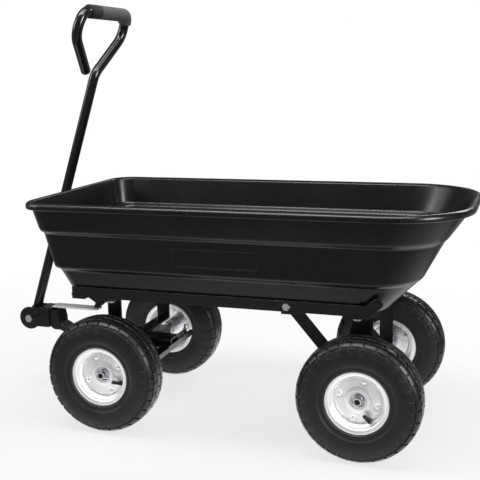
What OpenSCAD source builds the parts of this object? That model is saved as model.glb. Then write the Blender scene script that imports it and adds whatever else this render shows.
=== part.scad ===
// Tipping garden cart: moulded tub on a steel frame with four air-tyred wheels,
// a steered front axle, a folding pull handle and a rear dump hinge.
// Origin: centre of the footprint on the floor. +X is the rear, -X the pull end, +Z up.

/* [Wheels] */
// outer radius of the tyre
tyre_r = 127; // [120:0.5:130]
// overall width of the tyre
tyre_w = 81; // [74:1:84]
// outer radius of the rim flange
rim_r = 64.5; // [62:0.5:67]
// distance from the cart's centreline to the middle of a wheel
half_track = 188.3; // [187:0.1:192]

/* [Axles] */
// X position of the front axle
front_axle_x = -225; // [-228:1:-222]
// X position of the rear axle
rear_axle_x = 333; // [331:1:335]
// radius of the axle shafts
shaft_r = 8; // [7.6:0.1:8.4]
// radial running clearance of the shafts, pins and bushes
run_gap = 0.05; // [0.02:0.01:0.09]

/* [Tub] */
// height of the tub floor's underside
tub_z0 = 295; // [294.6:0.2:296]
// wall thickness of the tub
tub_wall = 3.5; // [2.5:0.5:4.5]
// half width of the rim lip
lip_w = 243; // [238:1:248]

/* [Frame] */
// height of the angle-section frame rails
rail_h = 23; // [18:1:23]
// thickness of the angle-section frame rails
rail_t = 3; // [2:0.5:3]
// half distance between the upright legs
leg_y = 128; // [124:1:130]
// thickness of the upright legs
leg_t = 5; // [4:0.5:5]

/* [Dump hinge] */
// X position of the dump hinge
hinge_x = 364; // [363:0.5:365]
// height of the dump hinge
hinge_z = 318; // [317:0.5:319]

/* [Handle] */
// radius of the handle tube
tube_r = 11; // [10:0.5:11.5]
// lean of the parked handle from the vertical
lean = 18.66; // [18:0.1:18.8]
// radius of the foam grip
grip_r = 15; // [14:0.5:16]
// X position of the handle pivot
yoke_x = -511.5; // [-514:0.5:-510]
// height of the handle pivot
yoke_z = 183.5; // [182:0.5:185]

/* [Hidden] */
$fn = 64;
rail_in = 155;
rail_out = 182;
rail_z = 291;
rail_x0 = -300;
tie_x0 = -320;
rail_x1 = 350;
axle_z = tyre_r;
beam_s = 30;
beam_y = 138;
brace_x = 171.5;
brace_w = 33;
brace_slope = 49.5;
plate_z = axle_z + beam_s/2;
tongue_z = plate_z + 5;
tongue_h = 12;
pivot_z = tongue_z + tongue_h + 2;
yoke_r = 27.5;
yoke_in = 22;
yoke_t = 4;
pin_r = 6;
latch_x = -318;
latch_z = 236;
striker_x = -338;
striker_z = 284;
hinge_pin_r = 5;
hub_r = 17.5;
hub_in = 36;
hub_out = 12;
hub_seat = 5;
shaft_out = 24;
bolt_circle = 40;
spin_front_left = -20;
spin_front_right = 50;
spin_rear_left = -61;
spin_rear_right = 200;
washer_r = 12.5;

// Tub outline at each level: height, front X, rear X, half width, front and rear corner radius
tub_out = [
    [tub_z0, -303, 371, 168.8, 21, 55],
    [tub_z0 + 3, -307, 377, 172.8, 25, 60],
    [348, -333, 430, 186, 30, 85],
    [351, -335, 433, 188, 31, 88],
    [356, -344, 439, 194, 33, 94],
    [360, -346, 443, 195.5, 34, 95],
    [430, -363, 481, 204, 38, 118],
    [433, -365, 484, 206, 39, 120],
    [438, -369, 489, 212.5, 41, 127],
    [442, -371, 492, 214, 42, 128],
    [486, -380, 524, 226, 46, 150],
    [487.5, -387, 536, lip_w - 2, 54, 163],
    [489.5, -389, 539, lip_w, 56, 165],
    [496, -389, 539, lip_w, 56, 165],
    [500, -387, 536.5, lip_w - 2.5, 54, 162],
    [502, -384, 533, lip_w - 6, 51, 159]
];
// one level of the skin, moved in by the wall thickness
function inset(z, l) =
    [z, l[1] + tub_wall, l[2] - tub_wall, l[3] - tub_wall, l[4] - tub_wall, l[5] - tub_wall];
// The same skin on the inside, from the rim down to the floor
tub_in = [
    [502, -381.5, 530, lip_w - 9.5, 48, 156],
    [500.5, -378.5, 526.5, lip_w - 14, 46, 152],
    [497, -380.5 + tub_wall, 526.5 - tub_wall, 227 - tub_wall, 44, 149],
    inset(442, tub_out[9]),
    inset(438.5, tub_out[8]),
    inset(433, tub_out[7]),
    inset(430, tub_out[6]),
    inset(360, tub_out[5]),
    inset(356.5, tub_out[4]),
    inset(351, tub_out[3]),
    inset(348, tub_out[2]),
    [tub_z0 + tub_wall + 4, -309 + tub_wall, 380 - tub_wall, 173.8 - tub_wall, 22, 58],
    [tub_z0 + tub_wall, -303.5 + tub_wall, 371.5 - tub_wall, 169 - tub_wall, 18, 52]
];
corner_n = 10;
tube_n = 24;

// Handle centreline in its own plane: across, along the stem, bend radius
handle_path = [
    [0, 0, 0],
    [0, 614, 34],
    [88, 702, 46],
    [82, 752.5, 18],
    [-116, 752.5, 26],
    [-134, 704, 44],
    [-48, 623, 0]
];

black = [0.06, 0.06, 0.065];
plastic = [0.09, 0.09, 0.095];
zinc = [0.72, 0.73, 0.75];
rubber = [0.05, 0.05, 0.05];
foam = [0.36, 0.37, 0.38];

// ---------- helpers ----------

// points of one rounded rectangle, anticlockwise seen from above
function arc_pts(cx, cy, r, a0, z) =
    [for (i = [0:corner_n]) let (a = a0 + 90*i/corner_n) [cx + r*cos(a), cy + r*sin(a), z]];
function ring(l) = concat(
    arc_pts(l[2] - l[5], l[3] - l[5], l[5], 0, l[0]),
    arc_pts(l[1] + l[4], l[3] - l[4], l[4], 90, l[0]),
    arc_pts(l[1] + l[4], -l[3] + l[4], l[4], 180, l[0]),
    arc_pts(l[2] - l[5], -l[3] + l[5], l[5], 270, l[0])
);
ring_n = 4*(corner_n + 1);

module skin(levels) {
    pts = [for (l = levels) each ring(l)];
    last = len(levels) - 1;
    sides = [for (k = [0:last - 1]) for (i = [0:ring_n - 1])
        let (j = (i + 1)%ring_n, a = k*ring_n, b = a + ring_n)
        each [[a + i, b + i, b + j], [a + i, b + j, a + j]]];
    bottom = [[for (i = [0:ring_n - 1]) i]];
    top = [[for (i = [0:ring_n - 1]) last*ring_n + ring_n - 1 - i]];
    polyhedron(points = pts, faces = concat(bottom, sides, top), convexity = 10);
}

// cylinder along Y between two Y values
module y_cyl(x, z, r, y0, y1) {
    translate([x, y0, z])
        rotate([-90, 0, 0])
            cylinder(r = r, h = y1 - y0);
}

// plate cut from an XZ outline, between two Y values
module y_plate(pts, y0, y1) {
    translate([0, y1, 0])
        rotate([90, 0, 0])
            linear_extrude(height = y1 - y0)
                polygon(pts);
}

// points of an arc in the XZ plane
function round_pts(x, z, r, a0, a1) =
    [for (i = [0:12]) let (a = a0 + (a1 - a0)*i/12) [x + r*cos(a), z + r*sin(a)]];

module box(lo, hi) {
    translate(lo)
        cube(hi - lo);
}

// the same piece on both sides of the cart
module both_sides() {
    children();
    mirror([0, 1, 0])
        children();
}

// ---------- bent tube ----------

function v2(p) = [p[0], p[1]];
function unit(v) = v/norm(v);
function turn(p, i) = let (a = unit(v2(p[i]) - v2(p[i - 1])), b = unit(v2(p[i + 1]) - v2(p[i])))
    atan2(a[0]*b[1] - a[1]*b[0], a*b);
function setback(p, i) = (i <= 0 || i >= len(p) - 1) ? 0 : abs(p[i][2]*tan(turn(p, i)/2));

// points [x, y, heading] along the path, with each bend cut into short chords
function bend_pts(p, i) =
    let (d = unit(v2(p[i]) - v2(p[i - 1])), t = turn(p, i), s = t > 0 ? 1 : -1, h = atan2(d[1], d[0]),
         q = v2(p[i]) - d*setback(p, i), c = q + s*p[i][2]*[-d[1], d[0]], m = ceil(abs(t)/9))
    [for (k = [0:m]) let (g = h + t*k/m) [c[0] + s*p[i][2]*sin(g), c[1] - s*p[i][2]*cos(g), g]];
function heading(p, i) = let (d = v2(p[i + 1]) - v2(p[i])) atan2(d[1], d[0]);
function path_pts(p) = let (n = len(p) - 1) concat(
    [[p[0][0], p[0][1], heading(p, 0)]],
    [for (i = [1:1:n - 1]) each bend_pts(p, i)],
    [[p[n][0], p[n][1], heading(p, n - 1)]]
);
function hoop(q, r) = [for (k = [0:tube_n - 1]) let (a = 360*k/tube_n)
    [q[0] - r*cos(a)*sin(q[2]), q[1] + r*cos(a)*cos(q[2]), r*sin(a)]];
function wall(m, at, out) = [for (k = [0:m - 2]) for (i = [0:tube_n - 1])
    let (j = (i + 1)%tube_n, a = at + k*tube_n, b = a + tube_n)
    each (out ? [[a + i, b + i, b + j], [a + i, b + j, a + j]] : [[a + i, b + j, b + i], [a + i, a + j, b + j]])];
function cap(a, b, out) = [for (i = [0:tube_n - 1]) let (j = (i + 1)%tube_n)
    each (out ? [[a + i, a + j, b + j], [a + i, b + j, b + i]] : [[a + i, b + j, a + j], [a + i, b + i, b + j]])];

// solid round bar of radius r along the path, in the XY plane
module bar(p, r) {
    q = path_pts(p);
    m = len(q);
    polyhedron(
        points = [for (c = q) each hoop(c, r)],
        faces = concat(
            wall(m, 0, true),
            [[for (i = [0:tube_n - 1]) i]],
            [[for (i = [0:tube_n - 1]) m*tube_n - 1 - i]]
        ),
        convexity = 10
    );
}

// hollow sleeve of outer radius r and inner radius ri along the path
module sleeve(p, r, ri) {
    q = path_pts(p);
    m = len(q);
    n = m*tube_n;
    polyhedron(
        points = concat([for (c = q) each hoop(c, r)], [for (c = q) each hoop(c, ri)]),
        faces = concat(
            wall(m, 0, true),
            wall(m, n, false),
            cap(0, n, true),
            cap((m - 1)*tube_n, n + (m - 1)*tube_n, false)
        ),
        convexity = 10
    );
}

// moves the handle's own plane (across, along) to the parked handle
module handle_frame() {
    translate([yoke_x, 0, yoke_z])
        rotate([0, lean, 0])
            rotate([90, 0, 90])
                children();
}

// ---------- tub ----------

module tub_shell() {
    color(plastic)
        difference() {
            skin(concat(tub_out, tub_in));
            both_sides() {
                for (x = [-240, 30, 260])
                    translate([x, 135, tub_z0 - 1]) {
                        cylinder(r = 4.2, h = 6);
                        translate([0, 0, 2.2])
                            cylinder(r = 9.2, h = 5);
                    }
            }
        }
}

module tub_straps() {
    color(black)
        both_sides()
            difference() {
                box([-290, 120, rail_z + 0.4], [329.8, 150, tub_z0]);
                for (x = [-240, 30, 260])
                    translate([x, 135, rail_z])
                        cylinder(r = 4.2, h = 6);
            }
}

module tub_hinge_bar() {
    color(black) {
        box([330, -176.5, rail_z + 0.4], [352, 176.5, tub_z0]);
        both_sides()
            difference() {
                y_plate(concat([[330, rail_z + 0.4], [352, rail_z + 0.4]], round_pts(hinge_x, hinge_z, 10, -30, 120),
                               [[330, 300]]),
                        176, 178.6);
                y_cyl(hinge_x, hinge_z, hinge_pin_r + run_gap, 170, 180);
            }
    }
}

module tub_bolts() {
    color(zinc)
        both_sides()
            for (x = [-240, 30, 260]) {
                translate([x, 135, rail_z + 0.6])
                    cylinder(r = 4, h = 6);
                translate([x, 135, tub_z0 + 1.3])
                    cylinder(r = 8.9, h = tub_wall - 1.4);
            }
}

module striker() {
    color(zinc) {
        y_cyl(striker_x, striker_z, 4, -15, 15);
        both_sides()
            y_plate([[-343, 279], [-333, 279], [-325, 289.5], [-307, 298], [-312.2, 308], [-330, 308], [-343, 291]],
                    11.5, 15);
    }
}

// ---------- frame ----------

module rail_left() {
    color(black)
        difference() {
            union() {
                y_plate([[rail_x0, rail_z + 4], [rail_x0 + 7, rail_z], [rail_x1, rail_z],
                         [rail_x1, rail_z + rail_h], [rail_x0, rail_z + rail_h]],
                        -rail_out, -rail_out + rail_t);
                box([rail_x0 + 7, -rail_out, rail_z], [325, -rail_in, rail_z + rail_t]);
            }
            y_cyl(183, rail_z + 11, 5.1, -rail_out - 1, -rail_out + rail_t + 1);
        }
}

module rail_right() {
    mirror([0, 1, 0])
        rail_left();
}

module front_tie() {
    color(black) {
        translate([0, 0, rail_z - 4])
            linear_extrude(height = 4)
                polygon([[tie_x0, -150], [rail_x0, -rail_out], [-270, -rail_out], [-270, -150], [-288, -138],
                         [-288, 138], [-270, 150], [-270, rail_out], [rail_x0, rail_out], [tie_x0, 150]]);
        box([tie_x0, -60, 268], [tie_x0 + 4, 60, rail_z - 4]);
    }
}

module cross_strap(x0, x1) {
    difference() {
        box([x0, -rail_out, rail_z - 5], [x1, rail_out, rail_z]);
        both_sides()
            translate([(x0 + x1)/2, 149, rail_z - 6])
                cylinder(r = 5.1, h = 8);
    }
}

module front_cross() {
    color(black)
        cross_strap(front_axle_x - 25, front_axle_x + 25);
}

module rear_cross() {
    color(black)
        cross_strap(rear_axle_x - 37, rear_axle_x + 11);
}

module leg(x, half, z0) {
    difference() {
        union() {
            box([x - half, leg_y, z0], [x + half, leg_y + leg_t, rail_z - 5]);
            box([x - half, leg_y + leg_t, rail_z - 10], [x + half, leg_y + 37, rail_z - 5]);
        }
        translate([x, 149, rail_z - 12])
            cylinder(r = 5.1, h = 8);
    }
}

module front_leg_right() {
    color(black)
        leg(front_axle_x, 16, pivot_z);
}

module front_leg_left() {
    mirror([0, 1, 0])
        front_leg_right();
}

module rear_leg_right() {
    color(black)
        difference() {
            union() {
                box([rear_axle_x - 15.5, leg_y, plate_z], [rear_axle_x + 15.5, leg_y + leg_t, rail_z - 5]);
                box([rear_axle_x - 37, leg_y + leg_t, rail_z - 10], [rear_axle_x + 11, leg_y + 37, rail_z - 5]);
            }
            translate([rear_axle_x - 13, 149, rail_z - 12])
                cylinder(r = 5.1, h = 8);
        }
}

module rear_leg_left() {
    mirror([0, 1, 0])
        rear_leg_right();
}

module pivot_plate() {
    color(black)
        difference() {
            box([front_axle_x - 16, -leg_y, pivot_z], [front_axle_x + 16, leg_y, pivot_z + 5]);
            translate([front_axle_x, 0, pivot_z - 1])
                cylinder(r = 8.05, h = 8);
        }
}

module gusset_right() {
    color(black)
        y_plate([[309, rail_z - 10], [301, 233], [340, 200], [rear_axle_x + 14, 200], [rear_axle_x + 11, rail_z - 10]],
                leg_y + leg_t, leg_y + leg_t + 4);
}

module gusset_left() {
    mirror([0, 1, 0])
        gusset_right();
}

// point on the brace's lower edge at height z, or w further back
function brace_at(z, w = 0) = [brace_x + w + (rail_z - 5 - z)*tan(90 - brace_slope), z];

module brace_right() {
    color(black)
        difference() {
            union() {
                box([brace_x, beam_y, rail_z - 5], [brace_x + brace_w, rail_out - 1, rail_z]);
                y_plate([brace_at(rail_z - 4), brace_at(rail_z - 4, brace_w), brace_at(axle_z + 13, brace_w),
                         [rear_axle_x, axle_z - 7], brace_at(axle_z - 7)],
                        beam_y, beam_y + 5);
                box([rear_axle_x - 15, beam_y, axle_z - 15], [rear_axle_x + 15, beam_y + 5, plate_z]);
            }
            y_cyl(rear_axle_x, axle_z, shaft_r + run_gap, beam_y - 1, beam_y + 7);
        }
}

module brace_left() {
    mirror([0, 1, 0])
        brace_right();
}

module axle_beam(x) {
    difference() {
        box([x - beam_s/2, -beam_y, axle_z - beam_s/2], [x + beam_s/2, beam_y, plate_z]);
        y_cyl(x, axle_z, shaft_r + run_gap, -beam_y - 1, beam_y + 1);
    }
}

module axle_shaft(x) {
    difference() {
        y_cyl(x, axle_z, shaft_r, -half_track - shaft_out, half_track + shaft_out);
        both_sides()
            y_cyl(x, axle_z, 6, half_track + 12, half_track + shaft_out + 1);
    }
    both_sides()
        difference() {
            y_cyl(x, axle_z, 12, beam_y + 6, half_track - hub_in - 0.4);
            y_cyl(x, axle_z, shaft_r - 1, beam_y, half_track);
        }
}

module wheel_nuts(x) {
    both_sides()
        translate([x, half_track + hub_seat + 0.4, axle_z])
            rotate([-90, 0, 0])
                difference() {
                    union() {
                        cylinder(r = washer_r, h = 2);
                        translate([0, 0, 1.5])
                            cylinder(r1 = 11, r2 = 9.8, h = 4);
                    }
                    translate([0, 0, -1])
                        cylinder(r = shaft_r, h = 11);
                }
}

module rear_axle_beam() {
    color(black)
        axle_beam(rear_axle_x);
}

module rear_axle_shaft() {
    color(zinc)
        axle_shaft(rear_axle_x);
}

module rear_wheel_nuts() {
    color(zinc)
        wheel_nuts(rear_axle_x);
}

module hinge_ears() {
    color(black)
        both_sides()
            difference() {
                union() {
                    y_plate(concat([[346, rail_z - 3], [328, rail_z - 3], [328, rail_z + rail_h], [342, rail_z + rail_h]],
                                   round_pts(366, 320, 11, 135, -38)),
                            rail_out, rail_out + 4);
                    y_cyl(hinge_x, hinge_z, 8.5, 179, rail_out);
                }
                y_cyl(hinge_x, hinge_z, hinge_pin_r, 170, rail_out + 6);
            }
}

module hinge_pins() {
    color(zinc)
        both_sides() {
            y_cyl(hinge_x, hinge_z, hinge_pin_r, 176, rail_out + 4);
            y_cyl(hinge_x, hinge_z, 8, rail_out + 4, rail_out + 8);
        }
}

module hex_head(r, h) {
    cylinder(r = r, h = h, $fn = 6);
}

module frame_bolts() {
    color(zinc)
        both_sides() {
            translate([183, -rail_out, rail_z + 11])
                rotate([90, 0, 0]) {
                    hex_head(8, 5);
                    translate([0, 0, -4.5])
                        cylinder(r = 5, h = 4.5);
                }
            for (x = [front_axle_x, rear_axle_x - 13])
                translate([x, 149, 0]) {
                    translate([0, 0, rail_z - 16])
                        hex_head(8.5, 6);
                    translate([0, 0, rail_z - 10])
                        cylinder(r = 5, h = 10);
                }
        }
}

// ---------- dump release ----------

module latch_bracket() {
    color(black)
        both_sides()
            difference() {
                y_plate(concat([[tie_x0, rail_z - 4], [tie_x0, 267.5], [-309, 267.5]],
                               round_pts(latch_x, latch_z, 9, 0, -120),
                               [[-348, 244], [-361, 252], [-361, 264], [-345, rail_z - 4]]),
                        20, 23.5);
                y_cyl(latch_x, latch_z, 4, 18, 25);
            }
}

module latch_pin() {
    color(zinc) {
        y_cyl(latch_x, latch_z, 4, -23.5, 26.5);
        y_cyl(latch_x, latch_z, 7, -28, -23.5);
        y_cyl(latch_x, latch_z, 6, 23.5, 28);
    }
}

module release_arm() {
    color(black)
        difference() {
            union() {
                y_plate([[-347, 215], [-333, 215], [-317, 229], [-311, 238], [-320, 246], [-357.5, 264],
                         [-357.5, 290], [-343.5, 290], [-346, 298], [-358, 300], [-366, 294], [-366, 258],
                         [-338, 237]],
                        -4, 4);
                y_cyl(latch_x, latch_z, 8, -19.5, 19.5);
            }
            y_cyl(latch_x, latch_z, 4 + run_gap, -20, 20);
        }
}

module release_pedal() {
    color(zinc) {
        box([-454, -15.5, 211.5], [-337, 15.5, 215]);
        box([-337, -12.5, 211.5], [-333, 12.5, 215]);
    }
}

// ---------- steering ----------

module kingpin() {
    color(zinc)
        translate([front_axle_x, 0, 0]) {
            translate([0, 0, tongue_z + 0.8])
                cylinder(r = 12, h = 6.6);
            translate([0, 0, tongue_z + 7])
                cylinder(r = 8, h = 26);
            translate([0, 0, tongue_z + tongue_h + 0.4])
                difference() {
                    cylinder(r = 16, h = 1.6);
                    translate([0, 0, -1])
                        cylinder(r = 8, h = 4);
                }
            translate([0, 0, pivot_z + 5])
                difference() {
                    hex_head(13, 11);
                    translate([0, 0, -1])
                        cylinder(r = 8, h = 14);
                }
        }
}

module front_axle_beam() {
    color(black)
        axle_beam(front_axle_x);
}

module front_axle_shaft() {
    color(zinc)
        axle_shaft(front_axle_x);
}

module front_wheel_nuts() {
    color(zinc)
        wheel_nuts(front_axle_x);
}

module steering_plate() {
    color(black)
        translate([0, 0, plate_z])
            linear_extrude(height = 5)
                polygon([[-252, -70], [-205, -70], [-165, -40], [-138, -40], [-138, 40], [-165, 40],
                         [-205, 70], [-252, 70], [-290, 22], [-290, -22]]);
}

module steering_crossbar() {
    color(black)
        difference() {
            box([-165, -115, plate_z - 12], [-141, 115, plate_z]);
            both_sides()
                translate([-153, 100, plate_z - 13])
                    cylinder(r = 5.1, h = 15);
        }
}

module steering_bolts() {
    color(zinc)
        both_sides() {
            translate([-153, 100, plate_z - 17])
                hex_head(8, 5);
            translate([-153, 100, plate_z - 12])
                cylinder(r = 5, h = 28);
            translate([-153, 100, plate_z])
                difference() {
                    hex_head(8, 7);
                    translate([0, 0, -1])
                        cylinder(r = 5, h = 9);
                }
        }
}

module tongue() {
    color(black)
        difference() {
            union() {
                box([-405, -22.5, tongue_z], [-140, 22.5, tongue_z + tongue_h]);
                y_plate([[-433, 158], [-405, tongue_z], [-405, tongue_z + tongue_h], [-433, 173]], -20, 20);
            }
            box([-401, -18.5, tongue_z - 1], [-139, 18.5, tongue_z + tongue_h - 4]);
            translate([front_axle_x, 0, tongue_z])
                cylinder(r = 8 + run_gap, h = tongue_h + 2);
        }
}

module tongue_head() {
    color(black) {
        y_plate(concat([[-433, 158]], [[-433, 183], [-438, 206], [-459, 207]], round_pts(-445, 172, 14, 180, 270)),
                -20, 20);
    }
}

module yoke() {
    color(black) {
        both_sides()
            difference() {
                union() {
                    y_cyl(yoke_x, yoke_z, yoke_r, yoke_in, yoke_in + yoke_t);
                    y_plate([[yoke_x, yoke_z + yoke_r - 2], [-459, yoke_z + 25], [-459, yoke_z - 20],
                             [-492, yoke_z - 20], [yoke_x, yoke_z - yoke_r + 2]], yoke_in, yoke_in + yoke_t);
                }
                y_cyl(yoke_x, yoke_z, pin_r, yoke_in - 1, yoke_in + yoke_t + 1);
            }
        box([-463, -yoke_in, yoke_z - 20], [-459, yoke_in, yoke_z + 25]);
        box([-484, -yoke_in, yoke_z + 24], [-452, yoke_in, yoke_z + 27.5]);
    }
}

module yoke_pin() {
    color(zinc) {
        y_cyl(yoke_x, yoke_z, pin_r, -yoke_in - yoke_t, yoke_in + yoke_t + 9);
        translate([yoke_x, -yoke_in - yoke_t, yoke_z])
            rotate([90, 0, 0])
                hex_head(9.5, 6.5);
        translate([yoke_x, yoke_in + yoke_t + 7, yoke_z])
            rotate([90, 0, 0])
                difference() {
                    hex_head(9.5, 7);
                    translate([0, 0, -1])
                        cylinder(r = pin_r, h = 9);
                }
    }
}

// ---------- handle ----------

module handle_tube() {
    color(black)
        difference() {
            union() {
                handle_frame()
                    bar(handle_path, tube_r);
                y_cyl(yoke_x, yoke_z, 14, -21.4, 21.4);
            }
            y_cyl(yoke_x, yoke_z, pin_r + run_gap, -23, 23);
        }
}

// stretch of the handle covered by the foam
grip_start = handle_path[3] + 0.42*(handle_path[2] - handle_path[3]);
grip_seam = [-55, handle_path[3][1], 0];
grip_path = [[grip_start[0], grip_start[1], 0], handle_path[3], grip_seam];
collar_path = [grip_seam, [-97, handle_path[4][1], 0]];

module grip() {
    color(foam)
        handle_frame()
            sleeve(grip_path, grip_r, tube_r + 0.1);
}

module grip_collar() {
    color(black)
        handle_frame()
            sleeve(collar_path, grip_r, tube_r + 0.1);
}

module handle_plug() {
    color(rubber)
        handle_frame()
            translate(handle_path[6])
                rotate([0, 0, -43.3])
                    rotate([0, 90, 0]) {
                        cylinder(r = tube_r, h = 3);
                        translate([0, 0, 3])
                            cylinder(r1 = tube_r, r2 = 6, h = 4);
                    }
}

// ---------- wheels ----------

// places a wheel modelled about Z, outboard side up, turned so that its valve is at the given angle
module at_wheel(x, side, spin) {
    translate([x, side*half_track, axle_z])
        rotate([side > 0 ? -90 : 90, 0, 0])
            rotate([0, 0, spin])
                children();
}

// the valve stem's seat in the rim barrel: it leans in towards the hub
module at_valve() {
    translate([53, 0, 9.3])
        rotate([0, -55, 0])
            children();
}

module tyre() {
    hw = tyre_w/2;
    color(rubber)
        rotate_extrude($fn = 96)
            difference() {
                polygon([
                    [56.6, -25.5], [64.2, -27.7], [65.2, -30.2], [74, -36], [84, -39.6], [94, -hw], [103, -40],
                    [112, -37.5], [119, -33], [124, -27], [126.2, -18], [tyre_r, -8], [tyre_r, 8], [126.2, 18],
                    [124, 27], [119, 33], [112, 37.5], [103, 40], [94, hw], [84, 39.6], [74, 36], [65.2, 30.2],
                    [64.2, 27.7], [56.6, 25.5]
                ]);
                polygon([
                    [64, -20], [74, -28], [90, -32], [104, -31], [113, -26], [118, -12], [118, 12], [113, 26],
                    [104, 31], [90, 32], [74, 28], [64, 20]
                ]);
            }
}

module rim() {
    color(zinc)
        difference() {
            rotate_extrude($fn = 96)
                polygon([
                    [rim_r - 1.5, 30.5], [rim_r, 29.5], [rim_r - 0.5, 28], [56.5, 25.8], [56, 19], [52, 14],
                    [52, -14], [56, -19], [56.5, -25.8], [rim_r - 0.5, -28], [rim_r, -29.5], [rim_r - 1.5, -30.5],
                    [55, -28.5], [53.5, -19.8], [49.5, -14.5], [49.5, 3], [45.5, 4], [43.5, 7], [25, 7],
                    [23, 11], [hub_r + 0.1, 11], [hub_r + 0.1, 14], [24.5, 14], [26.5, 10], [44.5, 10],
                    [46.5, 7], [49.5, 6.5], [49.5, 14.5], [53.5, 19.8], [55, 28.5]
                ]);
            for (a = [45:90:315])
                rotate([0, 0, a])
                    translate([bolt_circle, 0, 0])
                        cylinder(r = 3.4, h = 12);
            for (a = [85, 265])
                rotate([0, 0, a])
                    translate([34, 0, 0])
                        cylinder(r = 1.4, h = 12);
            at_valve()
                cylinder(r = 4.3, h = 9);
        }
}

module hub() {
    color(zinc)
        difference() {
            union() {
                translate([0, 0, -hub_in])
                    cylinder(r = hub_r, h = hub_in + hub_out);
                translate([0, 0, 3.6])
                    cylinder(r = 43, h = 3.4);
                for (a = [45:90:315])
                    rotate([0, 0, a])
                        translate([bolt_circle, 0, -6]) {
                            cylinder(r = 3.3, h = 17);
                            translate([0, 0, 4])
                                hex_head(6, 5.8);
                            translate([0, 0, 16])
                                cylinder(r = 6, h = 2.4);
                        }
            }
            translate([0, 0, -hub_in - 1])
                cylinder(r = shaft_r + run_gap, h = hub_in + hub_out + 2);
            translate([0, 0, hub_seat])
                cylinder(r = 14.4, h = hub_out);
        }
}

module valve() {
    color(rubber)
        at_valve() {
            cylinder(r = 4, h = 19);
            translate([0, 0, 18])
                cylinder(r = 2.6, h = 4);
            translate([0, 0, 20])
                cylinder(r = 3.4, h = 9);
        }
}

module tyre_front_left() {
    at_wheel(front_axle_x, -1, spin_front_left)
        tyre();
}

module rim_front_left() {
    at_wheel(front_axle_x, -1, spin_front_left)
        rim();
}

module hub_front_left() {
    at_wheel(front_axle_x, -1, spin_front_left)
        hub();
}

module valve_front_left() {
    at_wheel(front_axle_x, -1, spin_front_left)
        valve();
}

module tyre_front_right() {
    at_wheel(front_axle_x, 1, spin_front_right)
        tyre();
}

module rim_front_right() {
    at_wheel(front_axle_x, 1, spin_front_right)
        rim();
}

module hub_front_right() {
    at_wheel(front_axle_x, 1, spin_front_right)
        hub();
}

module valve_front_right() {
    at_wheel(front_axle_x, 1, spin_front_right)
        valve();
}

module tyre_rear_left() {
    at_wheel(rear_axle_x, -1, spin_rear_left)
        tyre();
}

module rim_rear_left() {
    at_wheel(rear_axle_x, -1, spin_rear_left)
        rim();
}

module hub_rear_left() {
    at_wheel(rear_axle_x, -1, spin_rear_left)
        hub();
}

module valve_rear_left() {
    at_wheel(rear_axle_x, -1, spin_rear_left)
        valve();
}

module tyre_rear_right() {
    at_wheel(rear_axle_x, 1, spin_rear_right)
        tyre();
}

module rim_rear_right() {
    at_wheel(rear_axle_x, 1, spin_rear_right)
        rim();
}

module hub_rear_right() {
    at_wheel(rear_axle_x, 1, spin_rear_right)
        hub();
}

module valve_rear_right() {
    at_wheel(rear_axle_x, 1, spin_rear_right)
        valve();
}

// ---------- drawing ----------
tub_shell();
tub_straps();
tub_hinge_bar();
tub_bolts();
striker();
rail_left();
rail_right();
front_tie();
front_cross();
rear_cross();
front_leg_left();
front_leg_right();
pivot_plate();
rear_leg_left();
rear_leg_right();
gusset_left();
gusset_right();
brace_left();
brace_right();
rear_axle_beam();
rear_axle_shaft();
rear_wheel_nuts();
hinge_ears();
hinge_pins();
frame_bolts();
latch_bracket();
latch_pin();
kingpin();
release_arm();
release_pedal();
front_axle_beam();
front_axle_shaft();
front_wheel_nuts();
steering_plate();
steering_crossbar();
steering_bolts();
tongue();
tongue_head();
yoke();
yoke_pin();
handle_tube();
grip();
grip_collar();
handle_plug();
tyre_front_left();
rim_front_left();
hub_front_left();
valve_front_left();
tyre_front_right();
rim_front_right();
hub_front_right();
valve_front_right();
tyre_rear_left();
rim_rear_left();
hub_rear_left();
valve_rear_left();
tyre_rear_right();
rim_rear_right();
hub_rear_right();
valve_rear_right();
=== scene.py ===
"""Tipping garden cart: the looks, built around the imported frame.

All lengths in the tables below are millimetres; MM turns them into metres.
"""
import math
import random

import bmesh
import bpy
from mathutils import Matrix, Vector


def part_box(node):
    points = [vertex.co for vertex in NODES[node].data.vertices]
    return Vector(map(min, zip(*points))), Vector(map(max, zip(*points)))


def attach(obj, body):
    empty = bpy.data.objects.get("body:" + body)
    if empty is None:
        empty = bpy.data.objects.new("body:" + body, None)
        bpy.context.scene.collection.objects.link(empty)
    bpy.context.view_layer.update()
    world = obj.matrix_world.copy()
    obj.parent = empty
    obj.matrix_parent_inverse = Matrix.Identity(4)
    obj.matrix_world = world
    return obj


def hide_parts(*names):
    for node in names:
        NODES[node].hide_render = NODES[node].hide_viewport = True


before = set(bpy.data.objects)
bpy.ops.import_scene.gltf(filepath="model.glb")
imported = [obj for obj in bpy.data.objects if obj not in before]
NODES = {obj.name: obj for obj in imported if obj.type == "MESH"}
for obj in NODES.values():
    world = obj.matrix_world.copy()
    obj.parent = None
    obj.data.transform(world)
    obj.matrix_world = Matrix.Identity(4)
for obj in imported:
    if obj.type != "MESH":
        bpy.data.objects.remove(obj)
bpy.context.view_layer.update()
MM = 0.001
WHEELS = ("front_left", "front_right", "rear_left", "rear_right")
rng = random.Random(7)


# ---------- materials ----------

def base_material(name, color, rough, metal=0.0, spec=0.5):
    """A new material, its node tree, its shader, and object coordinates to drive the detail."""
    m = bpy.data.materials.new(name)
    m.use_nodes = True
    nt = m.node_tree
    sh = nt.nodes["Principled BSDF"]
    sh.inputs["Base Color"].default_value = (*color, 1)
    sh.inputs["Roughness"].default_value = rough
    sh.inputs["Metallic"].default_value = metal
    sh.inputs["Specular IOR Level"].default_value = spec
    co = nt.nodes.new("ShaderNodeTexCoord").outputs["Object"]
    return m, nt, sh, co


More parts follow.
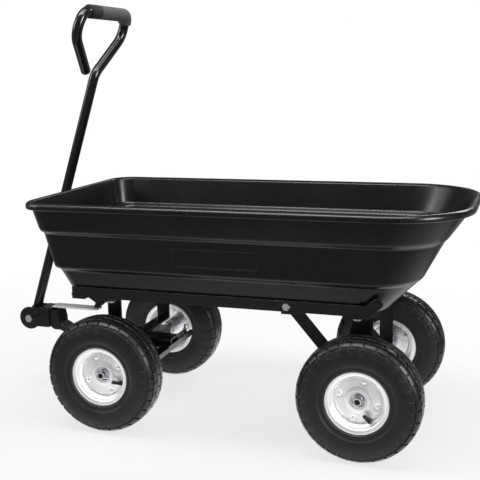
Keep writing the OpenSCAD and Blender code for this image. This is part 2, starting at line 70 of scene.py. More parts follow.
def noise(nt, co, scale, detail=3.0):
    n = nt.nodes.new("ShaderNodeTexNoise")
    n.inputs["Scale"].default_value = scale
    n.inputs["Detail"].default_value = detail
    nt.links.new(co, n.inputs["Vector"])
    return n.outputs["Fac"]


def cells(nt, co, scale):
    n = nt.nodes.new("ShaderNodeTexVoronoi")
    n.inputs["Scale"].default_value = scale
    nt.links.new(co, n.inputs["Vector"])
    return n.outputs["Distance"]


def ranged(nt, fac, lo, hi, a=0.3, b=0.7):
    """Maps a factor from a...b to lo...hi, held at both ends."""
    n = nt.nodes.new("ShaderNodeMapRange")
    for k, v in zip(("From Min", "From Max", "To Min", "To Max"), (a, b, lo, hi)):
        n.inputs[k].default_value = v
    nt.links.new(fac, n.inputs["Value"])
    return n.outputs["Result"]


def blended(nt, fac, a, b):
    n = nt.nodes.new("ShaderNodeMix")
    n.data_type = "RGBA"
    n.inputs["A"].default_value = (*a, 1)
    n.inputs["B"].default_value = (*b, 1)
    nt.links.new(fac, n.inputs["Factor"])
    return n.outputs["Result"]


def bumped(nt, sh, *layers):
    """Bump layers (height, strength, distance), one on top of the other."""
    normal = None
    for height, strength, distance in layers:
        n = nt.nodes.new("ShaderNodeBump")
        n.inputs["Strength"].default_value = strength
        n.inputs["Distance"].default_value = distance
        nt.links.new(height, n.inputs["Height"])
        if normal:
            nt.links.new(normal, n.inputs["Normal"])
        normal = n.outputs["Normal"]
    nt.links.new(normal, sh.inputs["Normal"])


def tub_plastic():
    m, nt, sh, co = base_material("tub_plastic", (0.006, 0.006, 0.0065), 0.28, spec=0.3)
    nt.links.new(ranged(nt, noise(nt, co, 5), 0.25, 0.32), sh.inputs["Roughness"])
    fac = ranged(nt, noise(nt, co, 60, 5), 0, 1)
    nt.links.new(blended(nt, fac, (0.005, 0.005, 0.0055), (0.008, 0.008, 0.0085)), sh.inputs["Base Color"])
    bumped(nt, sh, (noise(nt, co, 14, 2), 0.08, 0.004), (noise(nt, co, 1300, 2), 0.1, 0.0004))
    return m


def powder_coat():
    m, nt, sh, co = base_material("powder_coat", (0.004, 0.004, 0.0045), 0.15, spec=0.32)
    nt.links.new(ranged(nt, noise(nt, co, 30), 0.17, 0.23), sh.inputs["Roughness"])
    fac = ranged(nt, noise(nt, co, 300, 2), 0, 1)
    nt.links.new(blended(nt, fac, (0.011, 0.011, 0.0115), (0.016, 0.016, 0.0165)), sh.inputs["Base Color"])
    bumped(nt, sh, (noise(nt, co, 420, 1), 0.05, 0.0003))
    return m


def plated(name, color, dark, rough, spangle, metal=1.0):
    m, nt, sh, co = base_material(name, color, rough, metal=metal)
    fac = ranged(nt, noise(nt, co, 140, 4), 0, 1, 0.35, 0.65)
    nt.links.new(blended(nt, fac, dark, color), sh.inputs["Base Color"])
    nt.links.new(ranged(nt, noise(nt, co, 55, 4), rough - 0.03, rough + 0.04), sh.inputs["Roughness"])
    bumped(nt, sh, (noise(nt, co, 60, 1), spangle, 0.0008), (cells(nt, co, 900), 0.02, 0.0001))
    return m


def rubber(name, dark, light, rough):
    m, nt, sh, co = base_material(name, dark, rough, spec=0.22)
    fac = ranged(nt, noise(nt, co, 45, 6), 0, 1)
    nt.links.new(blended(nt, fac, dark, light), sh.inputs["Base Color"])
    nt.links.new(ranged(nt, noise(nt, co, 25, 4), rough - 0.09, rough + 0.09), sh.inputs["Roughness"])
    bumped(nt, sh, (noise(nt, co, 900, 3), 0.22, 0.0005), (noise(nt, co, 70, 2), 0.1, 0.001))
    return m


def foam(name, dark, light):
    m, nt, sh, co = base_material(name, light, 0.85, spec=0.3)
    fac = ranged(nt, cells(nt, co, 900), 0, 1, 0.1, 0.7)
    nt.links.new(blended(nt, fac, dark, light), sh.inputs["Base Color"])
    nt.links.new(ranged(nt, noise(nt, co, 60), 0.75, 0.95), sh.inputs["Roughness"])
    bumped(nt, sh, (cells(nt, co, 900), 0.5, 0.0006), (noise(nt, co, 120, 2), 0.25, 0.001))
    return m


TUB = tub_plastic()
COAT = powder_coat()
ZINC = plated("zinc_plate", (0.74, 0.74, 0.76), (0.6, 0.61, 0.62), 0.28, 0.05)
RIM = plated("rim_plate", (0.92, 0.92, 0.93), (0.88, 0.88, 0.89), 0.38, 0.008, 0.6)
PEDAL = plated("pedal_plate", (0.8, 0.8, 0.81), (0.7, 0.7, 0.71), 0.4, 0.03, 0.55)
TYRE = rubber("tyre_rubber", (0.012, 0.012, 0.0122), (0.0155, 0.0155, 0.0158), 0.5)
TREAD = rubber("tread_rubber", (0.012, 0.012, 0.0122), (0.017, 0.017, 0.0173), 0.34)
SOFT = rubber("soft_rubber", (0.010, 0.010, 0.010), (0.018, 0.018, 0.018), 0.5)
# black for the axle shafts' open ends: painted shade
END_SHADE = rubber("painted_end_shade", (0.008, 0.008, 0.008), (0.013, 0.013, 0.013), 0.32)
FOAM = foam("grip_foam", (0.07, 0.07, 0.072), (0.13, 0.13, 0.133))
COLLAR = foam("collar_foam", (0.008, 0.008, 0.0085), (0.016, 0.016, 0.0165))


# ---------- mesh helpers ----------

def piece(name, verts, faces, materials, body, replaced, sharp, face_mat):
    """A mesh object in the row frame, riding on its CAD body."""
    me = bpy.data.meshes.new(name)
    me.from_pydata([tuple(v) for v in verts], [], faces)
    me.validate()
    bm = bmesh.new()
    bm.from_mesh(me)
    bmesh.ops.recalc_face_normals(bm, faces=bm.faces)
    bm.to_mesh(me)
    bm.free()
    for m in materials:
        me.materials.append(m)
    for p, k in zip(me.polygons, face_mat):
        p.material_index = k
    me.shade_smooth()
    me.set_sharp_from_angle(angle=math.radians(sharp))
    o = bpy.data.objects.new(name, me)
    bpy.context.scene.collection.objects.link(o)
    w = o.modifiers.new("normals", "WEIGHTED_NORMAL")
    w.keep_sharp = True
    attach(o, body)
    if replaced:
        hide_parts(*replaced)
    return o


class Shell:
    """Gathers vertices and faces of several solids into one mesh."""

    def __init__(self):
        self.verts, self.faces, self.mats = [], [], []

    def add(self, verts, faces, place=None, mat=0):
        at = len(self.verts)
        self.verts += [place @ Vector(v) if place else Vector(v) for v in verts]
        self.faces += [tuple(i + at for i in f) for f in faces]
        self.mats += [mat]*len(faces)
        return self

    def make(self, name, materials, body, slot, replaced, sharp, place=None):
        verts = [place @ v for v in self.verts] if place else self.verts
        return piece(name, verts, self.faces, materials, body, replaced, sharp, self.mats)


def revolved(profile, n, closed=True):
    """Turns (radius, height) points about Z. closed joins the last point to the first."""
    verts = [(r*math.cos(2*math.pi*k/n), r*math.sin(2*math.pi*k/n), z) for k in range(n) for r, z in profile]
    m = len(profile)
    rows = m if closed else m - 1
    faces = [(k*m + i, k*m + (i + 1) % m, (k + 1) % n*m + (i + 1) % m, (k + 1) % n*m + i)
             for k in range(n) for i in range(rows)]
    return verts, faces


def capped(profile, n):
    """Turns an open profile that starts and ends near the axis, and closes both ends."""
    verts, faces = revolved(profile, n, closed=False)
    m = len(profile)
    faces.append(tuple(k*m for k in range(n)))
    faces.append(tuple(k*m + m - 1 for k in reversed(range(n))))
    return verts, faces


def chaikin(pts, rounds):
    """Cuts the corners of a polyline, keeping its ends."""
    for _ in range(rounds):
        out = [pts[0]]
        for a, b in zip(pts, pts[1:]):
            out.append(tuple(0.75*p + 0.25*q for p, q in zip(a, b)))
            out.append(tuple(0.25*p + 0.75*q for p, q in zip(a, b)))
        pts = out + [pts[-1]]
    return pts


def filleted(levels, d):
    """Rounds each inner point of a sequence of tuples over at most the distance d."""
    out, n = [levels[0]], 4
    for a, b, c in zip(levels, levels[1:], levels[2:]):
        va, vb, vc = Vector(a[:4]), Vector(b[:4]), Vector(c[:4])
        fa = min(0.45, d/max((vb - va).length, 1e-6))
        fc = min(0.45, d/max((vc - vb).length, 1e-6))
        p = [x + (y - x)*fa for x, y in zip(b, a)]
        q = [x + (y - x)*fc for x, y in zip(b, c)]
        for i in range(n + 1):
            t = i/n
            out.append(tuple((1 - t)**2*u + 2*t*(1 - t)*v + t*t*w for u, v, w in zip(p, b, q)))
    out.append(levels[-1])
    return out


def refine(name, width):
    """Softens the edges of a CAD node for the render, without changing its mesh."""
    o = NODES[name]
    w = o.modifiers.new("weld", "WELD")
    w.merge_threshold = 1e-6
    b = o.modifiers.new("edge", "BEVEL")
    b.width = width
    b.segments = 2
    b.limit_method = "ANGLE"
    b.angle_limit = math.radians(32)
    b.harden_normals = False
    o.data.shade_smooth()
    n = o.modifiers.new("normals", "WEIGHTED_NORMAL")
    n.keep_sharp = False
    return o


def paint(o, material):
    o.data.materials.clear()
    o.data.materials.append(material)


def centre(node):
    lo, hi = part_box(node)
    return (lo + hi)/2


# ---------- tub ----------

TUB_LO, TUB_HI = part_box("tub_shell")
TUB_Z0 = TUB_LO.z/MM
TUB_TOP = TUB_HI.z/MM
LIP = TUB_HI.y/MM
WALL = 3.5
# top of the load floor: the bolt heads are let into it
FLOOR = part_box("tub_bolts")[1].z/MM - 0.3
# height, front X, rear X, half width, front and rear corner radius
TUB_OUT = [
    (TUB_Z0, -303, 371, 168.8, 21, 55), (TUB_Z0 + 3, -307, 377, 172.8, 25, 60),
    (348, -333, 430, 186, 30, 85), (351, -335, 433, 188, 31, 88), (356, -344, 439, 194, 33, 94),
    (360, -346, 443, 195.5, 34, 95), (430, -363, 481, 204, 38, 118), (433, -365, 484, 206, 39, 120),
    (438, -369, 489, 212.5, 41, 127), (442, -371, 492, 214, 42, 128), (486, -380, 524, 226, 46, 150),
    (487.5, -387, 536, LIP - 2, 54, 163), (489.5, -389, 539, LIP, 56, 165), (496, -389, 539, LIP, 56, 165),
    (500, -387, 536.5, LIP - 2.5, 54, 162), (TUB_TOP, -384, 533, LIP - 6, 51, 159),
]
TUB_RIM = [
    (TUB_TOP, -381.5, 530, LIP - 9.5, 48, 156), (500.5, -378.5, 526.5, LIP - 14, 46, 152),
    (497, -377, 523, 227 - WALL, 44, 149),
]


def inset(z, level):
    return (z, level[1] + WALL, level[2] - WALL, level[3] - WALL, level[4] - WALL, level[5] - WALL)


TUB_IN = TUB_RIM + [inset(z, TUB_OUT[k]) for z, k in
                    ((442, 9), (438.5, 8), (433, 7), (430, 6), (360, 5), (356.5, 4), (351, 3), (348, 2))] + [
    (TUB_Z0 + WALL + 4, -305.5, 376.5, 173.8 - WALL, 22, 58),
    (FLOOR, -300, 368, 169 - WALL, 18, 52),
]
CORNER_N = 20


def tub_ring(level):
    z, x0, x1, w, rf, rr = level
    pts = []
    for cx, cy, r, a0 in ((x1 - rr, w - rr, rr, 0), (x0 + rf, w - rf, rf, 90),
                          (x0 + rf, rf - w, rf, 180), (x1 - rr, rr - w, rr, 270)):
        for i in range(CORNER_N + 1):
            a = math.radians(a0 + 90*i/CORNER_N)
            pts.append(Vector((cx + r*math.cos(a), cy + r*math.sin(a), z))*MM)
    return pts


def strip(a, b, n):
    """Faces between two closed rows of n vertices that start at a and b."""
    return [(a + i, b + i, b + (i + 1) % n, a + (i + 1) % n) for i in range(n)]


# the panel's outline: X and Z limits, corner radius; then the bead's half height, and how far it is let in
PANEL = (-54, 128, 376, 414, 5)
BEAD = 1.15
BEAD_SUNK = 0.6


def panel_bead(side):
    """The raised outline moulded into the middle step of a long side."""
    x0, x1, z0, z1, r = PANEL
    foot, head = TUB_OUT[5], TUB_OUT[6]
    path = []
    for cx, cz, a0 in ((x1 - r, z1 - r, 0), (x0 + r, z1 - r, 90),
                       (x0 + r, z0 + r, 180), (x1 - r, z0 + r, 270)):
        for i in range(7):
            a = math.radians(a0 + 15*i)
            path.append((cx + r*math.cos(a), cz + r*math.sin(a)))
    verts, m = [], 16
    for k, (x, z) in enumerate(path):
        px, pz = path[k - 1]
        nx, nz = path[(k + 1) % len(path)]
        t = Vector((nx - px, nz - pz)).normalized()
        wall = foot[3] + (z - foot[0])*(head[3] - foot[3])/(head[0] - foot[0])
        for j in range(m):
            a = 2*math.pi*j/m
            across, out = BEAD*1.5*math.cos(a), BEAD*math.sin(a) - BEAD_SUNK
            verts.append(Vector((x + across*t[1], side*(wall + out), z - across*t[0]))*MM)
    n = len(path)
    faces = [(k*m + j, k*m + (j + 1) % m, (k + 1) % n*m + (j + 1) % m, (k + 1) % n*m + j)
             for k in range(n) for j in range(m)]
    return verts, faces


def build_tub():
    levels = filleted(TUB_OUT[:11], 2.6) + filleted(TUB_OUT[11:] + TUB_RIM, 2.2)
    levels += filleted(TUB_IN[3:-1], 2.6) + [TUB_IN[-1]]
    n = 4*(CORNER_N + 1)
    verts = [p for level in levels for p in tub_ring(level)]
    faces = [f for k in range(len(levels) - 1) for f in strip(k*n, k*n + n, n)]
    faces.append(tuple(range(n)))
    faces.append(tuple(len(verts) - 1 - i for i in range(n)))
    s = Shell().add(verts, faces)
    for side in (-1, 1):
        s.add(*panel_bead(side))
    return s.make("tub_body", [TUB], "tub", "tub_plastic", ("tub_shell",), 50)


# ---------- wheels ----------

def wheel_place(w):
    """Matrix from a wheel modelled about Z, outboard side up, to its place in the row."""
    c = centre("tyre_" + w)
    turn = Matrix.Rotation(math.radians(90 if c.y < 0 else -90), 4, "X")
    v = turn.inverted() @ (centre("valve_" + w) - c)
    spin = Matrix.Rotation(math.atan2(v.y, v.x), 4, "Z")
    return Matrix.Translation(c) @ turn @ spin @ Matrix.Scale(MM, 4)


# radius and distance from the wheel's middle plane, from the bead to the crown
HALF_TYRE = [
    (56.6, 25.5), (64.2, 27.7), (65.2, 30.2), (74, 36), (84, 39.6), (94, 40.5),
    (103, 40), (112, 37.5), (119, 33), (124, 27), (126.2, 18), (127, 8),
]
TYRE_INSIDE = [(64, -20), (74, -28), (90, -32), (104, -31), (113, -26), (118, -12),
               (118, 12), (113, 26), (104, 31), (90, 32), (74, 28), (64, 20)]
TYRE_SIDES = 144
# blocks in a row, then the depth of the grooves and of the ones between the pads
PITCHES = 30
GROOVE = 2.6
PAD_GROOVE = 1.3
# width and depth of a block's edge, and the radius at which lengths become angles
CHAMFER = 0.7
EDGE_DROP = 0.6
TREAD_R = 120
# gap between blocks round the tyre, as an angle
SLIT = 2.6/122
# the block rows on the crown: from and to along the tyre's outer line, shift in pitches, skew
CROWN_ROWS = ((-7.6, 7.6, 0.0, 0.4), (9.8, 22.0, 0.5, -0.55), (-22.0, -9.8, 0.5, 0.55))
# the rows on each shoulder, as distances from the crown along the tyre's outer line
SHOULDER = (24.2, 38.0)
PAD = (40.2, 55.0)
# the side wall stays inside this distance from the wheel's middle plane
SIDE_MAX = 40.4


def tyre_line():
    """The tyre's outer line with arc length from the crown, outboard side positive."""
    half = chaikin(HALF_TYRE, 3)
    line = [(r, -a) for r, a in half] + [(r, a) for r, a in reversed(half)]
    dist, total = [0.0], 0.0
    for p, q in zip(line, line[1:]):
        total += math.dist(p, q)
        dist.append(total)
    return [(d - total/2, r, a) for d, (r, a) in zip(dist, line)]


LINE = tyre_line()


def on_line(u):
    """Point and outward normal (radius, axial) of the tyre's outer line at arc length u."""
    for (u0, r0, a0), (u1, r1, a1) in zip(LINE, LINE[1:]):
        if u <= u1:
            break
    t = (u - u0)/(u1 - u0)
    return Vector((r0 + t*(r1 - r0), a0 + t*(a1 - a0))), Vector((a1 - a0, -(r1 - r0))).normalized()


def with_edges(a, b, edge, n):
    """The span a...b cut in n parts inside an edge strip at each end."""
    return [a, a + edge] + [a + edge + (b - a - 2*edge)*i/n for i in range(1, n)] + [b - edge, b]


def tread_block(u0, u1, a0, a1, skew, low, high=0.0, nu=4, na=3):
    """One tread block: a patch of the tyre's skin with chamfered edges and walls into the carcass.

    It spans the arc lengths u0...u1 and the angles a0...a1. low and high are the depths of its foot
    and of its face below the tyre's outer line.
    """
    verts, faces = [], []
    us = with_edges(u0, u1, CHAMFER, nu)
    ts = with_edges(a0, a1, CHAMFER/TREAD_R, na)
    rows, cols = len(us), len(ts)
    for layer in (0, 1):
        for i, u in enumerate(us):
            p, nrm = on_line(u)
            for j, t in enumerate(ts):
                rim = i in (0, rows - 1) or j in (0, cols - 1)
                drop = low if layer else (EDGE_DROP if rim else 0.0) + high
                q = p - nrm*drop
                ang = t + skew*(u - (u0 + u1)/2)/TREAD_R
                verts.append((q.x*math.cos(ang), q.x*math.sin(ang), q.y))
    size = rows*cols
    for i in range(rows - 1):
        for j in range(cols - 1):
            a = i*cols + j
            faces.append((a, a + 1, a + cols + 1, a + cols))
            faces.append((size + a, size + a + cols, size + a + cols + 1, size + a + 1))
    border = [i*cols for i in range(rows)] + [(rows - 1)*cols + j for j in range(1, cols)]
    border += [i*cols + cols - 1 for i in range(rows - 2, -1, -1)] + [j for j in range(cols - 2, 0, -1)]
    for a, b in zip(border, border[1:] + border[:1]):
        faces.append((a, b, size + b, size + a))
    return verts, faces


def smooth(x):
    x = min(1.0, max(0.0, x))
    return x*x*(3 - 2*x)


def carcass_drop(u):
    """How far the carcass lies below the tyre's outer line: the tread grooves, then the side wall's ribs."""
    top, u = LINE[-1][0], abs(u)
    drop = PAD_GROOVE*smooth((PAD[1] + 2.0 - u)/9)
    drop += (GROOVE - PAD_GROOVE)*smooth((SHOULDER[1] + 2 - u)/3)
    for at, height, width in ((top - 14, 1.2, 3.0), (top - 21, -1.2, 3.6)):
        drop -= height*math.exp(-((u - at)/width)**2)
    return drop


def tyre_shell():
    s = Shell()
    profile = []
    for u, _, _ in LINE:
        p, nrm = on_line(u)
        q = p - nrm*carcass_drop(u)
        profile.append((q.x, min(SIDE_MAX, max(-SIDE_MAX, q.y))))
    s.add(*revolved(profile, TYRE_SIDES, closed=False))
    s.add(*revolved(TYRE_INSIDE[::-1], 48))
    s.add(*revolved([profile[0], profile[-1]], TYRE_SIDES, closed=False))
    step = 2*math.pi/PITCHES
    for k in range(PITCHES):
        for u0, u1, shift, skew in CROWN_ROWS:
            a = step*(k + shift)
            s.add(*tread_block(u0, u1, a + SLIT/2, a + step - SLIT/2, skew, GROOVE + 1), mat=1)
        for side in (-1, 1):
            a = step*(k + (0.0 if side > 0 else 0.5))
            span = SHOULDER if side > 0 else (-SHOULDER[1], -SHOULDER[0])
            block = tread_block(*span, a + 0.8*SLIT, a + step - 0.8*SLIT, -0.12*side, GROOVE + 1, nu=6)
            s.add(*block, mat=1)
            span = PAD if side > 0 else (-PAD[1], -PAD[0])
            s.add(*tread_block(*span, a + 0.22*step, a + 0.78*step, 0.0, 2.4, 0.1, nu=3, na=2))
    # moulding hairs
    for k in range(24):
        a = 2*math.pi*(k + 0.3*rng.random())/24
        for side in (-1, 1):
            p, nrm = on_line(side*(62 + 16*rng.random()))
            r, h, m = 0.45, 1.6, 6
            base = Vector((p.x*math.cos(a), p.x*math.sin(a), p.y))
            out = Vector((nrm.x*math.cos(a), nrm.x*math.sin(a), nrm.y))
            q = out.to_track_quat("Z", "Y").to_matrix().to_4x4()
            if abs(base.z + out.z*h) < SIDE_MAX:
                hair = capped([(0.01, -1), (r, -1), (r, h - 0.3), (0.01, h)], m)
                s.add(*hair, place=Matrix.Translation(base) @ q)
    return s


# the rim's closed section: radius, height towards the outboard side
RIM_FACE = [
    (62.6, 30.3), (64.0, 30.0), (64.5, 29.2), (64.2, 28.4), (60.5, 27.0), (57.0, 25.8), (56.2, 24.0),
    (56, 19), (53.5, 16), (52, 14), (52, -14), (53.5, -16), (56, -19), (56.2, -24), (57, -25.8),
    (60.5, -27), (64.2, -28.4), (64.5, -29.2), (64, -30), (62.6, -30.3), (58.5, -29.3), (55.4, -28),
    (54.2, -25), (53.5, -19.8), (50.4, -15.6), (49.5, -14), (49.5, 2), (48.6, 3), (46.2, 3.6), (44.6, 5),
    (43.4, 6.8), (42.6, 7), (26, 7), (25, 7.4), (23.8, 10.4), (22.8, 11), (17.7, 11), (17.7, 13.6),
    (18, 14), (23.6, 14), (24.6, 13.6),
    (25.8, 10.6), (26.8, 10), (28, 10), (30, 10), (32, 10), (34, 10), (36, 10), (38, 10), (40, 10), (42, 10),
    (43.6, 10), (44.4, 9.6), (46, 7.2), (46.8, 6.8), (48.6, 6.6), (49.3, 7.2), (49.5, 8), (49.5, 13.6),
    (50.2, 15.4), (53.2, 19), (53.8, 20.4), (54.6, 26.4), (55.6, 28.2), (58.5, 29.4),
]
BOLT_ANGLES = (45, 135, 225, 315)
BOLT_R = 40.0


def rim_shell():
    """Pressed rim: the dish face is sunk a little round each bolt, and raised in a rib beside the valve."""
    n = 192
    verts, faces = revolved(RIM_FACE, n)
    out = []
    for x, y, z in verts:
        r, a = math.hypot(x, y), math.degrees(math.atan2(y, x)) % 360
        if 25.0 < r < 45.2 and 6.5 < z < 10.5:
            for b in BOLT_ANGLES:
                c = Vector((BOLT_R*math.cos(math.radians(b)), BOLT_R*math.sin(math.radians(b))))
                d = (Vector((x, y)) - c).length
                z -= 0.6*smooth((9.4 - d)/3.0)
            away = abs((a + 180) % 360 - 180)
            rib = max(0.0, 1 - away/17)**0.5
            z += 1.1*rib*max(0.0, min(1.0, (r - 26)/3))*max(0.0, min(1.0, (44 - r)/4))
        out.append((x, y, z))
    return Shell().add(out, faces)


def hub_shell():
    s = Shell()
    s.add(*revolved([(17.2, -36), (17.5, -35.6), (17.5, 11.4), (17.1, 12), (15.0, 12), (14.5, 11.5),
                     (14.4, 6.0), (14.0, 5.2), (13.4, 5.0), (8.6, 5.0), (8.1, 4.6),
                     (8.1, -34.5), (8.6, -35), (14.5, -35), (15, -36)], 72))
    s.add(*revolved([(17.4, 3.7), (42.6, 3.7), (43, 4.2), (43, 6.4), (42.6, 6.9), (17.4, 6.9)], 72))
    for b in BOLT_ANGLES:
        c = (BOLT_R*math.cos(math.radians(b)), BOLT_R*math.sin(math.radians(b)))
        at = Matrix.Translation((c[0], c[1], 0))
        dome = [(0.01, 11.9), (1.6, 11.8), (3.2, 11.5), (4.6, 10.9), (5.6, 10.0), (6.0, 8.8), (5.8, 8.3),
                (3.3, 8.3), (3.3, -6.0), (2.6, -6.6), (0.01, -6.6)]
        s.add(*capped(dome, 28), place=at, mat=1)
        s.add(*capped([(0.01, -1.9), (5.5, -1.9), (6, -1.5), (6, 3.2), (5.6, 3.6), (0.01, 3.6)], 6),
              place=at @ Matrix.Rotation(rng.random(), 4, "Z"))
    return s


def valve_shell():
    s = Shell()
    seat = Matrix.Translation((53, 0, 9.3)) @ Matrix.Rotation(math.radians(-55), 4, "Y")
    line = [(0.01, 0), (4.1, 0), (4.3, 1), (4.3, 8), (4.1, 9)]
    for k in range(5):
        z = 9.6 + 1.8*k
        line += [(4.2 - 0.08*k, z), (4.2 - 0.08*k, z + 0.9), (3.8 - 0.08*k, z + 1.2)]
    line += [(3.5, 19), (3.2, 19.4), (3.2, 20.2), (3.8, 20.6), (3.9, 21), (3.9, 27.6), (3.4, 28.8),
             (0.01, 29)]
    s.add(*capped(line, 28), place=seat)
    return s


NUT_HEIGHT = 5.5
# length of the black plug that paints the shade in a shaft's open end
END_SHADE_LENGTH = 12.6


def nut_shell():
    """Push-on nut that holds a wheel on its shaft: a flat ring with a coned collar."""
    return Shell().add(*revolved([(8.1, 0.1), (12.2, 0), (12.5, 0.4), (12.4, 1.5), (11.6, 1.9), (10.9, 2.2),
                                  (9.9, 5.0), (9.5, 5.4), (8.6, 5.4), (8.1, 5.0)], 56))


def end_shade_shell():
    """Black plug set flush in the open end of an axle shaft: its black face is painted shade, standing for
    the dark hollow of the shaft's end.
    """
    return Shell().add(*capped([(0.01, 0), (5.8, 0), (5.9, 0.3), (5.9, 11.6), (5.5, 12.2), (4.0, 12.5),
                                (0.01, END_SHADE_LENGTH)], 36))


def build_wheels():
    tyre, rim, hub, valve = tyre_shell(), rim_shell(), hub_shell(), valve_shell()
    for w in WHEELS:
        at, body = wheel_place(w), "wheel_" + w
        tyre.make("tyre_detail_" + w, [TYRE, TREAD], body, "tyre_rubber", ("tyre_" + w,), 32, at)
        rim.make("rim_detail_" + w, [RIM], body, "rim_zinc", ("rim_" + w,), 40, at)
        hub.make("hub_detail_" + w, [ZINC, RIM], body, "hub_zinc", ("hub_" + w,), 32, at)
        valve.make("valve_detail_" + w, [SOFT], body, "rubber_black", ("valve_" + w,), 40, at)
    for axle, body in (("front", "steering"), ("rear", "chassis")):
        nuts, end_shades = Shell(), Shell()
        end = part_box(f"{axle}_axle_shaft")[1].y
        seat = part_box(f"{axle}_wheel_nuts")[1].y - NUT_HEIGHT*MM
        for side in ("left", "right"):
            c = centre(f"tyre_{axle}_{side}")
            sign = -1 if c.y < 0 else 1
            turn = Matrix.Rotation(math.radians(-90*sign), 4, "X") @ Matrix.Scale(MM, 4)
            for shell, made, y in ((nuts, nut_shell(), seat), (end_shades, end_shade_shell(), end - END_SHADE_LENGTH*MM)):
                shell.add(made.verts, made.faces, place=Matrix.Translation((c.x, sign*y, c.z)) @ turn)
        nuts.make(f"nuts_{axle}", [ZINC], body, "zinc", (f"{axle}_wheel_nuts",), 32)
        # a black plug in each shaft's open end: painted shade for its dark hollow
        end_shades.make(f"shaft_end_shades_{axle}", [END_SHADE], body, "rubber_black", (), 32)


# ---------- handle ----------

# centreline in the handle's own plane: across, along the stem, bend radius
HANDLE = [(0, 0, 0), (0, 614, 34), (88, 702, 46), (82, 752.5, 18), (-116, 752.5, 26),
          (-134, 704, 44), (-48, 623, 0)]
# degrees: the parked handle leans to the rear, and its open end points down in its own plane
LEAN = 18.66
PLUG_TURN = -43.3
TUBE_R = 11.0
TUBE_SIDES = 40
# the foam: radius, and the length over which it rolls in at an end
SLEEVE_R = 15.0
SLEEVE_END = 3.2
# the grip starts at this part of the way from corner 3 to corner 2; it meets the collar, and the collar
# ends, at these distances across
GRIP_START = 0.42
GRIP_SEAM = -55
COLLAR_END = -97
# extra rings near a sleeve's ends, as parts of the first gap
EASE = (0, 0.15, 0.35, 0.65)


def bent(path, step=4):
    """Points (across, along) of a path with circular bends."""
    out = [Vector(path[0][:2])]
    for a, b, c in zip(path, path[1:], path[2:]):
        pa, pb, pc = Vector(a[:2]), Vector(b[:2]), Vector(c[:2])
        u, v = (pb - pa).normalized(), (pc - pb).normalized()
        turn = math.atan2(u.x*v.y - u.y*v.x, u.dot(v))
        back = abs(b[2]*math.tan(turn/2))
        s = 1 if turn > 0 else -1
        start = pb - u*back
        mid = start + s*b[2]*Vector((-u.y, u.x))
        n = max(2, math.ceil(abs(math.degrees(turn))/step))
        for i in range(n + 1):
            rel = start - mid
            ang = turn*i/n
            out.append(mid + Vector((rel.x*math.cos(ang) - rel.y*math.sin(ang),
                                     rel.x*math.sin(ang) + rel.y*math.cos(ang))))
    out.append(Vector(path[-1][:2]))
    return out


def swept(points, radii, place):
    """Round section along points in the XY plane, one radius a point, with both ends closed."""
    verts, n = [], TUBE_SIDES
    for k, p in enumerate(points):
        a, b = points[max(k - 1, 0)], points[min(k + 1, len(points) - 1)]
        d = (b - a).normalized()
        for j in range(n):
            t = 2*math.pi*j/n
            verts.append(place @ Vector((p.x - d.y*radii[k]*math.cos(t), p.y + d.x*radii[k]*math.cos(t),
                                         radii[k]*math.sin(t))))
    faces = [f for k in range(len(points) - 1) for f in strip(k*n, k*n + n, n)]
    faces += [tuple(range(n)), tuple(len(verts) - 1 - j for j in range(n))]
    return verts, faces


def spaced(points, gap):
    """The same path with extra points so that none are further apart than gap."""
    out = [points[0]]
    for a, b in zip(points, points[1:]):
        n = max(1, math.ceil((b - a).length/gap))
        out += [a + (b - a)*i/n for i in range(1, n + 1)]
    return out


def sleeve_radii(points):
    """Radii of a foam sleeve that rolls in at both ends."""
    d = [0.0]
    for a, b in zip(points, points[1:]):
        d.append(d[-1] + (b - a).length)
    out = []
    for x in d:
        e = min(x, d[-1] - x)
        out.append(SLEEVE_R - (SLEEVE_R - TUBE_R - 0.3)*(1 - min(1.0, e/SLEEVE_END))**3)
    return out


def build_handle():
    pivot = centre("yoke_pin")
    lean = Matrix.Rotation(math.radians(LEAN), 4, "Y")
    lay = Matrix(((0, 0, 1, 0), (1, 0, 0, 0), (0, 1, 0, 0), (0, 0, 0, 1)))
    at = Matrix.Translation((pivot.x, 0, pivot.z)) @ lean @ lay @ Matrix.Scale(MM, 4)
    path = bent(HANDLE)
    s = Shell().add(*swept(path, [TUBE_R]*len(path), at))
    side = Matrix.Translation((pivot.x, 0, pivot.z)) @ Matrix.Rotation(math.radians(90), 4, "X")
    eye = [(6.05, -21.4), (13.4, -21.4), (14, -20.8), (14, 20.8), (13.4, 21.4), (6.05, 21.4)]
    s.add(*revolved(eye, 48), place=side @ Matrix.Scale(MM, 4))
    s.make("handle_bar", [COAT], "handle", "frame_black", ("handle_tube",), 40)
    up = [a + GRIP_START*(b - a) for a, b in zip(HANDLE[3][:2], HANDLE[2][:2])]
    seam, left = (GRIP_SEAM, HANDLE[3][1]), (COLLAR_END, HANDLE[4][1])
    for name, pts, mat, slot, node in (
            ("grip_foam_sleeve", [(*up, 0), HANDLE[3], (*seam, 0)], FOAM, "grip_foam", "grip"),
            ("grip_collar_sleeve", [(*seam, 0), (*left, 0)], COLLAR, "collar_black", "grip_collar")):
        line = spaced(bent(pts, 3), 4)
        head = [line[0] + (line[1] - line[0])*t for t in EASE]
        tail = [line[-1] + (line[-2] - line[-1])*t for t in reversed(EASE)]
        line = head + line[1:-1] + tail
        foam_shell = Shell().add(*swept(line, sleeve_radii(line), at))
        foam_shell.make(name, [mat], "handle", slot, (node,), 60)
    tip = Matrix.Translation((*HANDLE[6][:2], 0)) @ Matrix.Rotation(math.radians(PLUG_TURN), 4, "Z")
    tip = tip @ Matrix.Rotation(math.radians(90), 4, "Y")
    plug = Shell().add(*capped([(0.01, 0), (10.9, 0), (11, 0.3), (11, 2.4), (10.6, 3.2), (9.4, 4.6), (7, 6),
                                (4, 6.8), (0.01, 7)], 40), place=at @ tip)
    plug.make("handle_end_plug", [SOFT], "handle", "rubber_black", ("handle_plug",), 50)


# ---------- frame ----------

